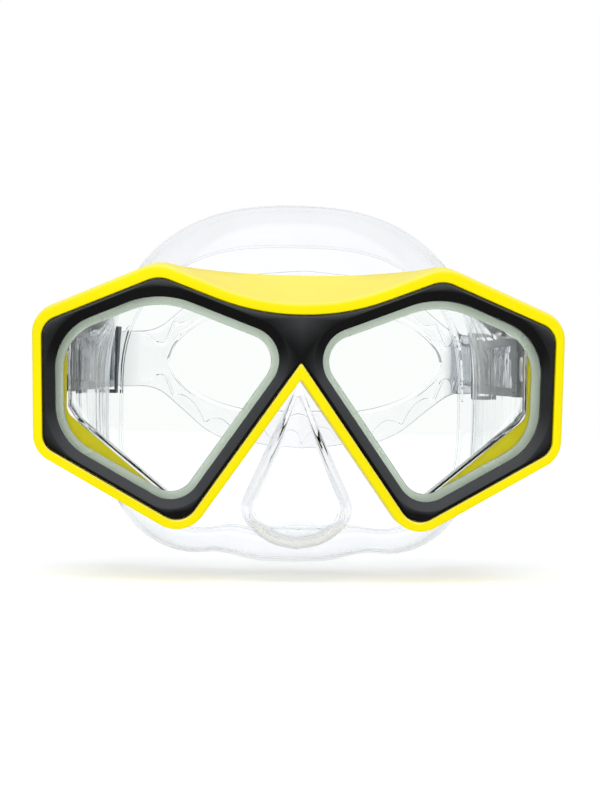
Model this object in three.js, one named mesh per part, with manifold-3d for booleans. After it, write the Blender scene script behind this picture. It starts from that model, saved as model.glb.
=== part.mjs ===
// Two-window snorkelling mask: rigid frame and bezel, flat glass, moulded skirt, split head strap
// and a quick-adjust buckle on each side.
// Millimetres. X runs to the wearer's left, Y from the glass back to the face, Z up.
// The origin is the middle of the plane where the sides of the face seal end.
import * as THREE from "three";
import { mergeGeometries, mergeVertices } from "three/addons/utils/BufferGeometryUtils.js";
import Module from "manifold-3d";

const wasm = await Module();
wasm.setup();

// ---- driving dimensions ----
const FACE_DEPTH = 70; // front of the nose bridge to the face plane
const SWEEP = 0.1; // each half of the front leans back this much per millimetre outward
const GAP = 0.3; // between pieces that touch
const RUNNING_GAP = 0.1; // round a shaft in its hole

const BEZEL = { front: 0.2, back: 4 };
const GLASS = { front: BEZEL.back + GAP, back: 7.3, margin: 2.2 };
const SEAT = { front: GLASS.back + GAP, back: 10.3, margin: 2.3, inset: 0.6 };
const FRAME_LEDGE = { front: SEAT.back + GAP, back: 13.5 };
const BROW = { rim: 3.75, slope: 0.7, reach: 47, arcEnd: 26 };
const SNAP = { width: 3.2, depth: 2, reach: 0.8, places: [19.5, 31.5, 55.5, 67] };

const SKIRT = {
  wall: 1.8, neckStart: 8.8, neckEnd: 14.3, neckGap: 0.75,
  halfWidth: 64.5, top: 62.5, bottom: 57.5,
};
const NOSE = { top: 1.5, halfTop: 0.8, halfBottom: 19.3, shoulder: -39.3, bottom: -50.7, hollowBack: 47 };

const PIVOT = { x: 79.5, depth: 31, z: 8, pinRadius: 2.2 };
const LUG = { inner: 75.6, outer: 78.6, radius: 6 };
const EAR = { inner: 79.9, outer: 83.2, radius: 6.5 };
const BUCKLE = { turn: 13, start: 9.5, end: 40, halfHeight: 9.6, halfThickness: 4.7, cheek: 1.6 };
const ROLLER = { along: 17, out: 0.6, radius: 1.9, halfLength: 7.5, axleRadius: 0.9 };
const LEVER = { along: 31, out: 6.9, hubRadius: 2.1, pinRadius: 0.8, halfWidth: 7.4 };
const STRAP = { tilt: 2.5, thickness: 1.6, tailHalfWidth: 7.5, bandHalfWidth: 9.8, backShift: 7 };
const KEEPER = { alongLeft: 43, alongRight: 58, length: 4.5, wall: 1.2, inner: -3.6, outer: 1.4 };

// The bezel's outer edge in the X-Z plane: the +X half, from the middle of the brow round to the
// nose, as [x, z, corner radius]. The frame and the windows are offset from it.
const BEZEL_CORNERS = [
  [0, 18, 75],
  [44.5, 35, 9],
  [81, 20, 6.5],
  [80, -18.5, 6],
  [36, -43, 7],
  [0, 8.5, 0.5],
];
const RIM = 3; // the frame outside the bezel, at the sides, below and along the nose
const FRAME_TOP_CORNERS = [
  [0, 34, 300],
  [45, 39.5, 12],
  [84, 23, 9.5],
];
const BAND = 4; // the bezel between its outer edge and each window
const WINDOW_RADII = [10.5, 28, 17, 18, 10];
const REAR_OPENING_CORNERS = [
  [0, 16, 60],
  [43.5, 32, 9],
  [73.5, 19, 6],
  [73.5, -8, 5],
  [36, -38.5, 6],
  [0, 12.5, 1.2],
];

const radians = THREE.MathUtils.degToRad;
const lerp = THREE.MathUtils.lerp;

// ---- solids ----
function toSolid(geometry) {
  let closed = geometry;
  if (!geometry.userData.closed) {
    const bare = geometry.clone();
    bare.deleteAttribute("normal");
    bare.deleteAttribute("uv");
    closed = mergeVertices(bare, 1e-4);
  }
  const vertProperties = Float32Array.from(closed.attributes.position.array);
  const triVerts = Uint32Array.from(closed.index.array);
  return new wasm.Manifold(new wasm.Mesh({ numProp: 3, vertProperties, triVerts }));
}

function toGeometry(solid) {
  const mesh = solid.getMesh();
  const geometry = new THREE.BufferGeometry();
  geometry.setAttribute("position", new THREE.BufferAttribute(mesh.vertProperties, 3));
  geometry.setIndex(new THREE.BufferAttribute(mesh.triVerts, 1));
  geometry.computeVertexNormals();
  geometry.userData = { closed: true };
  return geometry;
}

const join = (...parts) => toGeometry(parts.map(toSolid).reduce((sum, part) => sum.add(part)));
const cut = (body, ...tools) =>
  toGeometry(tools.map(toSolid).reduce((rest, tool) => rest.subtract(tool), toSolid(body)));
const common = (first, second) => toGeometry(toSolid(first).intersect(toSolid(second)));

// The same shape reflected in the plane x = 0, with its faces still pointing out.
function mirrored(geometry) {
  const copy = toGeometry(toSolid(geometry)).applyMatrix4(new THREE.Matrix4().makeScale(-1, 1, 1));
  const index = copy.index.array;
  for (let i = 0; i < index.length; i += 3) {
    [index[i], index[i + 1]] = [index[i + 1], index[i]];
  }
  return copy;
}

// A box between two opposite corners.
function block([x0, y0, z0], [x1, y1, z1]) {
  const box = new THREE.BoxGeometry(x1 - x0, y1 - y0, z1 - z0);
  return box.translate((x0 + x1) / 2, (y0 + y1) / 2, (z0 + z1) / 2);
}

// A prism of an X-Z outline between two depths.
function plate(outline, front, back) {
  const options = { depth: back - front, bevelEnabled: false };
  const prism = new THREE.ExtrudeGeometry(new THREE.Shape(outline), options);
  return prism.rotateX(Math.PI / 2).translate(0, back, 0);
}

// A prism of an X-Y outline between two heights.
function slab(outline, low, high) {
  const options = { depth: high - low, bevelEnabled: false };
  return new THREE.ExtrudeGeometry(new THREE.Shape(outline), options).translate(0, 0, low);
}

// A prism of a Y-Z outline between two X values.
function sidePlate(outline, inner, outer) {
  const options = { depth: outer - inner, bevelEnabled: false };
  const prism = new THREE.ExtrudeGeometry(new THREE.Shape(outline), options);
  return prism.rotateX(Math.PI / 2).rotateZ(Math.PI / 2).translate(inner, 0, 0);
}

function rodAlongX(radius, inner, outer, y, z, sides = 20) {
  const rod = new THREE.CylinderGeometry(radius, radius, outer - inner, sides);
  return rod.rotateZ(Math.PI / 2).translate((inner + outer) / 2, y, z);
}

function rodAlongZ(radius, low, high, x, y, sides = 16) {
  const rod = new THREE.CylinderGeometry(radius, radius, high - low, sides);
  return rod.rotateX(Math.PI / 2).translate(x, y, (low + high) / 2);
}

// ---- outlines ----
// Turns a closed list of [x, z, radius] corners into points, with an arc at each corner.
function rounded(corners) {
  const points = [];
  corners.forEach(([x, z, radius], i) => {
    const corner = new THREE.Vector2(x, z);
    const [beforeX, beforeZ] = corners[(i + corners.length - 1) % corners.length];
    const [afterX, afterZ] = corners[(i + 1) % corners.length];
    const back = new THREE.Vector2(beforeX, beforeZ).sub(corner).normalize();
    const on = new THREE.Vector2(afterX, afterZ).sub(corner).normalize();
    const halfAngle = Math.acos(THREE.MathUtils.clamp(back.dot(on), -1, 1)) / 2;
    const turn = Math.PI - 2 * halfAngle;
    if (radius < 0.01) {
      points.push(corner);
      return;
    }
    const middle = back.clone().add(on).normalize();
    const centre = corner.clone().addScaledVector(middle, radius / Math.sin(halfAngle));
    const start = corner.clone().addScaledVector(back, radius / Math.tan(halfAngle)).sub(centre);
    const end = corner.clone().addScaledVector(on, radius / Math.tan(halfAngle)).sub(centre);
    const side = Math.sign(start.cross(end));
    const steps = Math.max(1, Math.ceil(turn / radians(14)));
    for (let k = 0; k <= steps; k += 1) {
      const spin = (side * turn * k) / steps;
      points.push(start.clone().rotateAround(new THREE.Vector2(), spin).add(centre));
    }
  });
  return points;
}

// Adds the -X half of a corner list whose first and last corners lie on x = 0.
function bothHalves(half) {
  const others = half.slice(1, -1).map(([x, z, radius]) => [-x, z, radius]);
  return [...half, ...others.reverse()];
}

// Moves every side of a clockwise corner list outward by a distance.
function grown(corners, distance) {
  const count = corners.length;
  return corners.map(([x, z, radius], i) => {
    const corner = new THREE.Vector2(x, z);
    const before = new THREE.Vector2(...corners[(i + count - 1) % count].slice(0, 2));
    const after = new THREE.Vector2(...corners[(i + 1) % count].slice(0, 2));
    const into = corner.clone().sub(before).normalize();
    const away = after.sub(corner).normalize();
    const normalIn = new THREE.Vector2(-into.y, into.x);
    const normalOut = new THREE.Vector2(-away.y, away.x);
    const bisector = normalIn.clone().add(normalOut).normalize();
    const moved = corner.addScaledVector(bisector, distance / bisector.dot(normalIn));
    const convex = into.cross(away) < 0;
    const grownRadius = Math.max(0.4, radius + (convex ? distance : -distance));
    return [moved.x, moved.y, grownRadius];
  });
}

// The point where the line through a and b meets the line through c and d.
function meeting([ax, az], [bx, bz], [cx, cz], [dx, dz]) {
  const first = new THREE.Vector2(bx - ax, bz - az);
  const second = new THREE.Vector2(dx - cx, dz - cz);
  const t = ((cx - ax) * second.y - (cz - az) * second.x) / first.cross(second);
  return [ax + first.x * t, az + first.y * t];
}

// The frame follows the bezel outside an even rim, except over the brow, where it has its own line.
function frameCorners() {
  return [...FRAME_TOP_CORNERS, ...grown(bothHalves(BEZEL_CORNERS), RIM).slice(3, 6)];
}

// The +X window keeps an even band inside the bezel's sides, with softer corners of its own.
function windowCorners() {
  const [dip, peak, sideTop, sideFoot, foot, bridge] = BEZEL_CORNERS;
  const inner = [...meeting(dip, peak, foot, bridge), 0];
  const inset = grown([inner, peak, sideTop, sideFoot, foot], -BAND);
  return inset.map(([x, z], i) => [x, z, WINDOW_RADII[i]]);
}

// Leans both halves of a symmetrical front piece back from the nose: the +X half is cut off, opened
// on its cut face and welded to its own reflection.
function sweptBack(geometry) {
  const half = common(geometry, block([0, -50, -100], [120, 60, 100]));
  half.applyMatrix4(new THREE.Matrix4().makeShear(SWEEP, 0, 0, 0, 0, 0));
  half.deleteAttribute("normal");
  const position = half.attributes.position;
  for (let v = 0; v < position.count; v += 1) {
    if (Math.abs(position.getX(v)) < 1e-4) position.setX(v, 0);
  }
  const faces = [];
  for (let i = 0; i < half.index.count; i += 3) {
    const corners = [0, 1, 2].map((k) => half.index.getX(i + k));
    if (corners.some((v) => position.getX(v) > 0)) faces.push(corners);
  }
  const reflection = half.clone().scale(-1, 1, 1);
  half.setIndex(faces.flat());
  reflection.setIndex(faces.map(([a, b, c]) => [b, a, c]).flat());
  const whole = mergeVertices(mergeGeometries([half, reflection]), 1e-5);
  whole.userData = { closed: true };
  return whole;
}

// ---- frame, bezel and glass ----
// A block across the bezel's upper edge at a given distance from the middle.
function snapBlock(x, width, reach, front, back) {
  const [dip, peak, side] = BEZEL_CORNERS;
  const [from, to] = x < peak[0] ? [dip, peak] : [peak, side];
  const slope = Math.atan2(to[1] - from[1], to[0] - from[0]);
  const arcLift = x < BROW.arcEnd ? (BROW.arcEnd - x) ** 2 / (2 * dip[2]) : 0;
  const z = from[1] + (x - from[0]) * Math.tan(slope) + arcLift;
  const tabHeight = 2;
  const tab = new THREE.BoxGeometry(width, back - front, tabHeight);
  return tab.translate(0, (front + back) / 2, reach - tabHeight / 2).rotateY(-slope).translate(x, 0, z);
}

function snapBlocks(width, reach, front, back) {
  const half = SNAP.places.map((x) => snapBlock(x, width, reach, front, back));
  return [...half, ...half.map(mirrored)];
}

function frameGeometry() {
  const outer = plate(rounded(bothHalves(frameCorners())), 0, FRAME_LEDGE.back);
  const pocket = plate(rounded(bothHalves(BEZEL_CORNERS)), -1, FRAME_LEDGE.front);
  const opening = plate(rounded(bothHalves(REAR_OPENING_CORNERS)), 5, FRAME_LEDGE.back + 1);
  const notches = snapBlocks(SNAP.width + 2 * GAP, SNAP.reach + GAP, -1, BEZEL.back - GAP);
  const front = cut(outer, pocket, opening, browScoop(), ...notches);
  const ears = [buckleEar(), mirrored(buckleEar())];
  return join(sweptBack(front), ...ears);
}

// The space above the brow's rim, which leans back and up from the rim to the rear edge.
function browScoop() {
  const [dip, peak] = BEZEL_CORNERS;
  const rimSlope = (peak[1] - dip[1]) / peak[0];
  const rimZ = dip[1] + BROW.rim;
  const half = [
    [0, rimZ, dip[2] - BROW.rim],
    [BROW.reach, rimZ + rimSlope * BROW.reach, 0],
    [BROW.reach, 70, 0],
    [0, 70, 0],
  ];
  const space = plate(rounded(bothHalves(half)), -1, FRAME_LEDGE.back + 1);
  return space.applyMatrix4(new THREE.Matrix4().makeShear(0, 0, 0, BROW.slope, 0, 0));
}

// A lug behind the frame's side, with the hole for the buckle's pivot pin.
function buckleEar() {
  const root = FRAME_LEDGE.front + SWEEP * EAR.inner + 1;
  const outline = rounded([
    [root, PIVOT.z - 10, 0],
    [root + 4, PIVOT.z - 9, 2],
    [PIVOT.depth + EAR.radius, PIVOT.z - EAR.radius, EAR.radius - 0.1],
    [PIVOT.depth + EAR.radius, PIVOT.z + EAR.radius, EAR.radius - 0.1],
    [root + 4, PIVOT.z + 9, 2],
    [root, PIVOT.z + 10, 0],
  ]);
  const holeRadius = PIVOT.pinRadius + RUNNING_GAP;
  const pinHole = rodAlongX(holeRadius, EAR.inner - 1, EAR.outer + 1, PIVOT.depth, PIVOT.z);
  return cut(sidePlate(outline, EAR.inner, EAR.outer), pinHole);
}

function bezelGeometry() {
  const ring = plate(rounded(grown(bothHalves(BEZEL_CORNERS), -GAP)), BEZEL.front, BEZEL.back);
  const windowCut = plate(rounded(windowCorners()), -1, BEZEL.back + 1);
  const tabs = snapBlocks(SNAP.width, SNAP.reach, BEZEL.front + 0.5, BEZEL.front + 0.5 + SNAP.depth);
  return sweptBack(join(cut(ring, windowCut, mirrored(windowCut)), ...tabs));
}

function lensGeometry() {
  const pane = plate(rounded(grown(windowCorners(), GLASS.margin)), GLASS.front, GLASS.back);
  return pane.applyMatrix4(new THREE.Matrix4().makeShear(SWEEP, 0, 0, 0, 0, 0));
}

// ---- skirt ----
// The skirt's wall runs from a root line behind the glass to the seal line on the face. Each line
// has the same number of points, spread over the same four stretches of each half.
const STRETCHES = [6, 7, 7, 6];
const SEAL_ANGLES = [90, 48, 0, -52, -90];
const WALL_STATIONS = [0.12, 0.28, 0.46, 0.66, 0.85, 1];
const LIP_STATIONS = [0.5, 1];

// The +X half of the root line, from the middle of the brow to the nose.
function halfRootLine() {
  const loop = rounded(grown(bothHalves(REAR_OPENING_CORNERS), -SKIRT.neckGap));
  const half = loop.filter((point) => point.x > 0.05);
  const ends = loop.filter((point) => Math.abs(point.x) <= 0.05).map((point) => point.y);
  half.unshift(new THREE.Vector2(0, Math.max(...ends, half[0].y)));
  half.push(new THREE.Vector2(0, Math.min(...ends, half[half.length - 1].y)));
  return half;
}

// Splits the half line at its peak, its widest point and its lowest point, and spaces each stretch.
function spacedRootPoints() {
  const line = halfRootLine();
  const best = (score) => line.reduce((top, point, i) => (score(point) > score(line[top]) ? i : top), 0);
  const splits = [0, best((p) => p.y), best((p) => p.x), best((p) => -p.y), line.length - 1];
  const points = [];
  STRETCHES.forEach((count, k) => {
    const stretch = new THREE.Path(line.slice(splits[k], splits[k + 1] + 1));
    points.push(...stretch.getSpacedPoints(count).slice(0, count));
  });
  points.push(line[line.length - 1]);
  return points;
}

// The seal line, a squarish oval: [x, z, depth of the seal, width of the rolled lip].
function sealPoint(degrees) {
  const cos = Math.cos(radians(degrees));
  const sin = Math.sin(radians(degrees));
  const above = sin > 0;
  const roundness = above ? 2 / 2.4 : 2 / 3.4;
  const x = SKIRT.halfWidth * cos ** roundness;
  const z = (above ? SKIRT.top : SKIRT.bottom) * Math.sign(sin) * Math.abs(sin) ** roundness;
  const depth = FACE_DEPTH - 2 - (above ? 17 : 19) * sin * sin;
  const lip = 6 + (above ? 8 : 4) * sin * sin;
  return [x, z, depth, lip];
}

function sealPoints() {
  const points = [];
  STRETCHES.forEach((count, k) => {
    for (let i = 0; i < count; i += 1) {
      points.push(sealPoint(lerp(SEAL_ANGLES[k], SEAL_ANGLES[k + 1], i / count)));
    }
  });
  points.push(sealPoint(-90));
  return points;
}

// Rows of points on the skirt's outer face, front to back, each row right round the mask.
function skirtRows() {
  const roots = spacedRootPoints();
  const seals = sealPoints();
  const row = (place) => {
    const half = roots.map((root, i) => place(root, seals[i]));
    const others = half.slice(1, -1).map((p) => new THREE.Vector3(-p.x, p.y, p.z));
    return [...half, ...others.reverse()];
  };
  const neck = (depth) => row((root) => new THREE.Vector3(root.x, depth + SWEEP * root.x, root.y));
  const wall = (along) =>
    row((root, [x, z, depth]) => {
      const spread = 1 - (1 - along) ** 1.8;
      const start = SKIRT.neckEnd + SWEEP * root.x;
      return new THREE.Vector3(lerp(root.x, x, spread), lerp(start, depth, along), lerp(root.y, z, spread));
    });
  const lip = (along) =>
    row((root, [x, z, depth, width]) => {
      const inward = 1 - (width * along) / Math.hypot(x, z);
      return new THREE.Vector3(x * inward, depth + 2 * Math.sin((along * Math.PI) / 2), z * inward);
    });
  return [neck(SKIRT.neckStart), neck(SKIRT.neckEnd), ...WALL_STATIONS.map(wall), ...LIP_STATIONS.map(lip)];
}

// The wall as a thin ring, whose points are then moved to the rows and to the inner face. The ring
// is thinner than a chord over two of its sides, so its end faces split into short triangles.
function skirtWall() {
  const outerRadius = 100;
  const innerRadius = 99.6;
  const rows = skirtRows();
  const count = rows[0].length;
  const circle = (radius) =>
    Array.from({ length: count }, (_, i) => {
      const angle = (2 * Math.PI * i) / count;
      return new THREE.Vector2(radius * Math.cos(angle), radius * Math.sin(angle));
    });
  const ring = new THREE.Shape(circle(outerRadius));
  ring.holes.push(new THREE.Path(circle(innerRadius)));
  const options = { depth: 1, steps: rows.length - 1, bevelEnabled: false };
  const geometry = new THREE.ExtrudeGeometry(ring, options);
  const position = geometry.attributes.position;
  for (let v = 0; v < position.count; v += 1) {
    const angle = Math.atan2(position.getY(v), position.getX(v));
    const i = (Math.round((angle / (2 * Math.PI)) * count) + count) % count;
    const k = Math.round(position.getZ(v) * (rows.length - 1));
    const point = rows[k][i].clone();
    if (Math.hypot(position.getX(v), position.getY(v)) < (outerRadius + innerRadius) / 2) {
      const next = rows[k][(i + 1) % count];
      const last = rows[k][(i + count - 1) % count];
      const behind = rows[Math.min(k + 1, rows.length - 1)][i];
      const ahead = rows[Math.max(k - 1, 0)][i];
      const across = next.clone().sub(last);
      const along = behind.clone().sub(ahead);
      point.addScaledVector(along.cross(across).normalize(), SKIRT.wall);
    }
    position.setXYZ(v, point.x, point.y, point.z);
  }
  return geometry;
}

// The flat lens seat: a plate behind the glass with a window for each eye.
function lensSeat() {
  const seat = plate(rounded(grown(bothHalves(BEZEL_CORNERS), -SEAT.inset)), SEAT.front, SEAT.back);
  const windowCut = plate(rounded(grown(windowCorners(), -SEAT.margin)), SEAT.front - 1, SEAT.back + 1);
  return sweptBack(cut(seat, windowCut, mirrored(windowCut)));
}

// Depth of the skirt's outer face below the nose, from the column of points on the middle plane.
function wallDepth(x, z) {
  const middle = skirtRows().map((row) => row[spacedRootPoints().length - 1]);
  const below = middle.findIndex((point) => point.z < z);
  const [upper, lower] = [middle[below - 1], middle[below]];
  const sideways = 0.16 * Math.abs(x);
  return lerp(upper.y, lower.y, (upper.z - z) / (upper.z - lower.z)) - sideways;
}

// The nose pocket's front is narrower than its root and stops above it. Its root ends inside the
// skirt's wall. Given an inset it is the pocket's hollow, which passes right through that wall.
function nosePocket(inset) {
  const half = [
    [0, NOSE.top - 2 * inset, 0],
    [NOSE.halfTop, NOSE.top - 2 * inset, 0],
    [NOSE.halfBottom - inset, NOSE.shoulder, 5],
    [10, NOSE.bottom + 1.6 + inset, 6],
    [0, NOSE.bottom + inset, 0],
  ];
  const options = { depth: 1, steps: 3, bevelEnabled: false };
  const outline = new THREE.Shape(rounded(bothHalves(half)));
  const geometry = new THREE.ExtrudeGeometry(outline, options);
  const position = geometry.attributes.position;
  const widths = [0.68, 0.88, 1, 1];
  const lifts = [0.85, 0.4, 0, 0];
  const sets = [0, 2.5, 8];
  const flatBottom = -43.5 + inset;
  for (let v = 0; v < position.count; v += 1) {
    const k = Math.round(position.getZ(v) * 3);
    const x = position.getX(v) * widths[k];
    const z = position.getY(v);
    const front = lerp(11, 6, z / NOSE.bottom) + inset;
    const root = inset > 0 ? NOSE.hollowBack : wallDepth(x, z) + SKIRT.wall / 2;
    const depth = k < 3 ? Math.min(front + sets[k], root - 1) : root;
    position.setXYZ(v, x, depth, z < flatBottom ? lerp(z, flatBottom, lifts[k]) : z);
  }
  return geometry;
}

function skirtGeometry() {
  const outside = join(skirtWall(), lensSeat(), flipped(nosePocket(0)));
  return cut(outside, flipped(nosePocket(SKIRT.wall)));
}

// Reverses every face of a shape whose points were moved through a reflection.
function flipped(geometry) {
  const bare = geometry.clone();
  bare.deleteAttribute("normal");
  bare.deleteAttribute("uv");
  const merged = mergeVertices(bare, 1e-4);
  const index = merged.index.array;
  for (let i = 0; i < index.length; i += 3) {
    [index[i], index[i + 1]] = [index[i + 1], index[i]];
  }
  return merged;
}

// ---- buckle pieces, made for the +X side ----
// Buckle coordinates start at the pivot: X outward, Y along the buckle away from the frame.
function buckleGeometry() {
  const { start, end, halfHeight, halfThickness, cheek } = BUCKLE;
  const body = block([-halfThickness, start, -halfHeight], [halfThickness, end, halfHeight]);
  const innerHeight = halfHeight - cheek;
  const hollow = block([-3.5, start + 3, -innerHeight], [halfThickness + 1, end - 3.5, innerHeight]);
  const rearSlot = block([-3.5, start + 3, -innerHeight], [3.3, end + 1, innerHeight]);
  const strapWindow = block([-halfThickness - 1, 15, -6.8], [0, 35, 6.8]);
  const leverCheeks = [-1, 1].map((side) => {
    const inner = side * innerHeight;
    const outer = side * halfHeight;
    const outline = rounded([
      [2, LEVER.along - 7, 0],
      [LEVER.out + LEVER.hubRadius, LEVER.along - LEVER.hubRadius, 2],
      [LEVER.out + LEVER.hubRadius, LEVER.along + LEVER.hubRadius, 2],
      [2, LEVER.along + 7, 0],
    ]);
    return slab(outline, Math.min(inner, outer), Math.max(inner, outer));
  });
  const lug = sidePlate(
    rounded([
      [-LUG.radius, -LUG.radius, LUG.radius - 0.1],
      [11, -LUG.radius, 0],
      [14, -8, 0],
      [14, 8, 0],
      [11, LUG.radius, 0],
      [-LUG.radius, LUG.radius, LUG.radius - 0.1],
    ]),
    LUG.inner - PIVOT.x,
    LUG.outer - PIVOT.x
  ).rotateZ(-radians(BUCKLE.turn));
  const lugInside = common(lug, block([-20, -20, -20], [20, start + 2, 20]));
  const pinHole = rodAlongX(PIVOT.pinRadius + RUNNING_GAP, -10, 10, 0, 0).rotateZ(-radians(BUCKLE.turn));
  const axleHole = rodAlongZ(ROLLER.axleRadius + RUNNING_GAP, -20, 20, ROLLER.out, ROLLER.along);
  const leverHole = rodAlongZ(LEVER.pinRadius + RUNNING_GAP, -20, 20, LEVER.out, LEVER.along);
  const shell = cut(body, hollow, rearSlot, strapWindow);
  return cut(join(shell, ...leverCheeks, lugInside), pinHole, axleHole, leverHole);
}

function rollerGeometry() {
  const { out, along, radius, halfLength, axleRadius } = ROLLER;
  const drum = rodAlongZ(radius, -halfLength, halfLength, out, along);
  return cut(drum, rodAlongZ(axleRadius + RUNNING_GAP, -20, 20, out, along));
}

function leverGeometry() {
  const { along, out, hubRadius, pinRadius, halfWidth } = LEVER;
  const hub = rodAlongZ(hubRadius, -halfWidth, halfWidth, out, along);
  const arm = slab(
    [
      [5.2, 19],
      [6.7, 18.6],
      [7.6, along],
      [8.2, 37],
      [10.6, 43],
      [9.2, 43.6],
      [7.2, 38],
      [6, along],
    ].map(([x, y]) => new THREE.Vector2(x, y)),
    -halfWidth,
    halfWidth
  );
  const teeth = [19.6, 21.4, 23.2].map((y) =>
    slab([[4.8, y], [5.9, y + 1], [5.9, y - 0.6]].map(([x, v]) => new THREE.Vector2(x, v)), -6.5, 6.5)
  );
  const springSpace = block([out - 5, along - 2.8, -3.6], [out + 5, along + 2.8, 3.6]);
  const pinHole = rodAlongZ(pinRadius + RUNNING_GAP, -20, 20, out, along);
  return cut(join(hub, arm, ...teeth), springSpace, pinHole);
}

function leverSpringGeometry() {
  const turns = 4;
  const coilRadius = 1.75;
  const points = Array.from({ length: turns * 10 + 1 }, (_, i) => {
    const angle = (2 * Math.PI * i) / 10;
    const height = lerp(-2.6, 2.6, i / (turns * 10));
    return new THREE.Vector3(
      LEVER.out + coilRadius * Math.cos(angle),
      LEVER.along + coilRadius * Math.sin(angle),
      height
    );
  });
  const wire = Array.from({ length: 6 }, (_, i) => {
    const angle = (2 * Math.PI * i) / 6;
    return new THREE.Vector2(0.35 * Math.cos(angle), 0.35 * Math.sin(angle));
  });
  const extrudePath = new THREE.CatmullRomCurve3(points);
  const options = { steps: turns * 12, extrudePath, bevelEnabled: false };
  return new THREE.ExtrudeGeometry(new THREE.Shape(wire), options);
}

function keeperGeometry(along) {
  const { length, wall, inner, outer } = KEEPER;
  const halfHeight = STRAP.bandHalfWidth + 1;
  const endWall = halfHeight + wall;
  const loop = block([inner - wall, along, -endWall], [outer + wall, along + length, endWall]);
  return cut(loop, block([inner, along - 1, -halfHeight], [outer, along + length + 1, halfHeight]));
}

// ---- head strap ----
// Turns buckle coordinates on the +X side into strap coordinates, whose origin is between the pivots.
function fromBuckle(x, y) {
  const turned = new THREE.Vector2(x, y).rotateAround(new THREE.Vector2(), radians(BUCKLE.turn));
  return new THREE.Vector2(turned.x + PIVOT.x, turned.y);
}

// A ribbon of even thickness either side of a smooth X-Y line.
function ribbon(points, thickness, divisions) {
  const line = new THREE.SplineCurve(points);
  const sides = [1, -1].map((side) =>
    Array.from({ length: divisions + 1 }, (_, i) => {
      const t = i / divisions;
      const across = line.getTangentAt(t).rotateAround(new THREE.Vector2(), Math.PI / 2);
      return line.getPointAt(t).addScaledVector(across, (side * thickness) / 2);
    })
  );
  return [...sides[0], ...sides[1].reverse()];
}

function padOutline() {
  const half = [
    [0, 33.5, 0],
    [32, 31, 30],
    [55, STRAP.bandHalfWidth + 0.4, 15],
    [95, STRAP.bandHalfWidth - 0.4, 0],
  ];
  const upper = rounded([...half, [95, 0, 0], [0, 0, 0]]).filter((p) => p.y > 0.1 && p.x > 0);
  const right = [...upper, ...upper.map((p) => new THREE.Vector2(p.x, -p.y)).reverse()];
  return [...right, ...right.map((p) => new THREE.Vector2(-p.x, p.y)).reverse()];
}

function padHole() {
  const quarter = [
    [0, 20, 0],
    [29, 18.5, 22],
    [51, 0, 5],
  ];
  const mirror = ([x, z, radius]) => [-x, z, radius];
  const below = ([x, z, radius]) => [x, -z, radius];
  const right = [...quarter, below(quarter[1]), below(quarter[0])];
  return rounded([...right, ...right.slice(1, -1).map(mirror).reverse()]);
}

// The band from one roller round the back of the head to the other, narrow at the sides. The pad
// sits off the middle, because one side of the strap is pulled further through its buckle.
function bandGeometry() {
  const side = [17, 33, 49, 65].map((along) => fromBuckle(-2.4, along));
  const opposite = side.map((p) => new THREE.Vector2(-p.x, p.y)).reverse();
  const back = [
    [57, 77, 0.55],
    [46.5, 86.5, 0.8],
    [31, 91.8, 0.95],
    [15, 93.8, 1],
    [0, 94.3, 1],
  ];
  const reflected = back.slice(0, -1).map(([x, y, share]) => [-x, y, share]).reverse();
  const shifted = [...back, ...reflected].map(
    ([x, y, share]) => new THREE.Vector2(x + share * STRAP.backShift, y)
  );
  const outline = ribbon([...side, ...shifted, ...opposite], STRAP.thickness + 0.2, 64);
  const band = slab(outline, -40, 40);
  const pad = plate(padOutline(), -20, 120).translate(STRAP.backShift, 0, 0);
  const hole = plate(padHole(), 40, 120).translate(STRAP.backShift, 0, 0);
  const tails = block([66.6, -30, -40], [120, 42, 40]);
  const slim = block([60, -30, -STRAP.tailHalfWidth], [120, 200, STRAP.tailHalfWidth]);
  const trim = cut(tails, slim);
  return cut(common(band, pad), hole, trim, mirrored(trim));
}

// The tail: round the roller and back along the outside of the band to a rounded end.
function tailGeometry(end) {
  const { out, along } = ROLLER;
  const radius = ROLLER.radius + GAP + STRAP.thickness / 2;
  const bend = [-90, -45, 0, 45, 90].map((degrees) => {
    const angle = radians(degrees);
    return new THREE.Vector2(out + radius * Math.sin(angle), along - radius * Math.cos(angle));
  });
  const run = [
    [out + radius, along + 9],
    [out + radius - 0.6, 32],
    [0.2, 42],
    [-0.4, 50],
    [-0.5, end],
  ].map(([x, y]) => new THREE.Vector2(x, y));
  const lead = new THREE.Vector2(out - radius, along + 2);
  const outline = ribbon([lead, ...bend, ...run], STRAP.thickness, 44);
  const half = STRAP.tailHalfWidth;
  const strip = slab(outline, -half, half);
  const endTrim = rounded([
    [0, -half - 1, 0],
    [0, half + 1, 0],
    [end - 0.2, half - 1, half - 2],
    [end - 0.2, -half + 1, half - 2],
  ]);
  const trimmed = common(strip, sidePlate(endTrim, -20, 20));
  return trimmed.rotateZ(radians(BUCKLE.turn)).translate(PIVOT.x, 0, 0);
}

function strapGeometry() {
  return join(bandGeometry(), tailGeometry(70), mirrored(tailGeometry(72)));
}

// ---- materials ----
const plastic = (color, roughness) => new THREE.MeshStandardMaterial({ color, roughness, metalness: 0 });
const steel = new THREE.MeshStandardMaterial({ color: 0xc9ccd0, roughness: 0.3, metalness: 1 });
const yellow = plastic(0xfaed05, 0.35);
const charcoal = plastic(0x222226, 0.55);
const smoke = plastic(0x3b464d, 0.3);
const silicone = new THREE.MeshStandardMaterial({ color: 0xeef3f6, roughness: 0.25, metalness: 0 });
const glass = new THREE.MeshStandardMaterial({ color: 0xdbe8e2, roughness: 0.05, metalness: 0 });

// ---- assembly ----
const mask = new THREE.Group();
mask.position.y = -FACE_DEPTH;

function place(parent, name, geometry, material) {
  const mesh = new THREE.Mesh(geometry, material);
  mesh.name = name;
  parent.add(mesh);
}

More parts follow.
